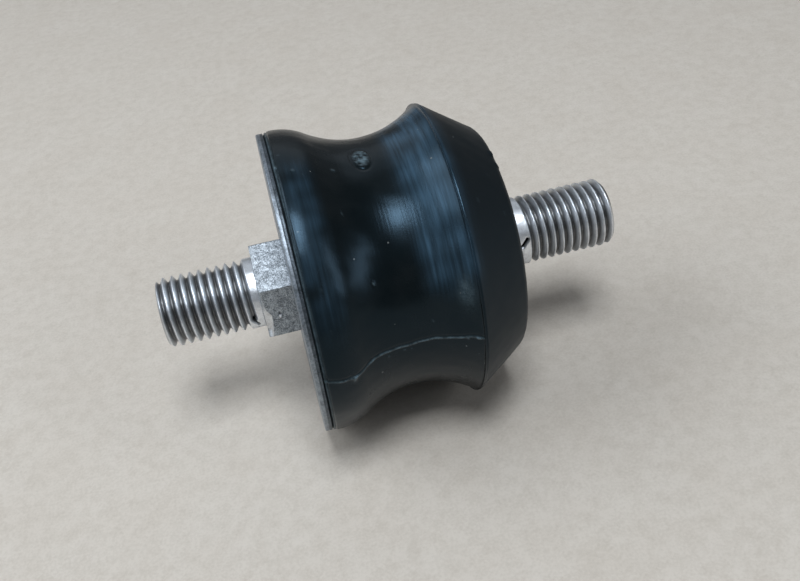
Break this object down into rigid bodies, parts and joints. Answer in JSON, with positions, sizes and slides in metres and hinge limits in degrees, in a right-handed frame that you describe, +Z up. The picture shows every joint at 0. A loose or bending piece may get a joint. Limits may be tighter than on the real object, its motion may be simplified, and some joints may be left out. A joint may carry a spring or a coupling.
{
  "type": "bobbin vibration mount",
  "caption": "Waisted rubber vibration mount with a flared end, a bonded steel end plate, and a threaded stud at each end, one of them with a hexagon.",
  "frame": {"origin": "middle of the overall length, on the common axis of the body and both studs", "axes": "+X along the axis from the bare end plate towards the flared end; +Z up with the mount lying on its two rims"},
  "size_m": [0.066, 0.043, 0.043],
  "materials": {
    "rubber": "moulded black rubber, satin, with a parting line and a gate mark",
    "plate_steel": "thin zinc-plated steel plate, sheared edge",
    "stud_zinc": "bright zinc-plated thread, dull speckled hexagon",
    "inner_steel": "plain steel, covered by rubber"
  },
  "bodies": {
    "root": {"rubber_body": "rubber", "end_plate": "plate_steel", "hex_stud": "stud_zinc", "plain_stud": "stud_zinc", "buried_plate": "inner_steel"}
  },
  "joints": []
}
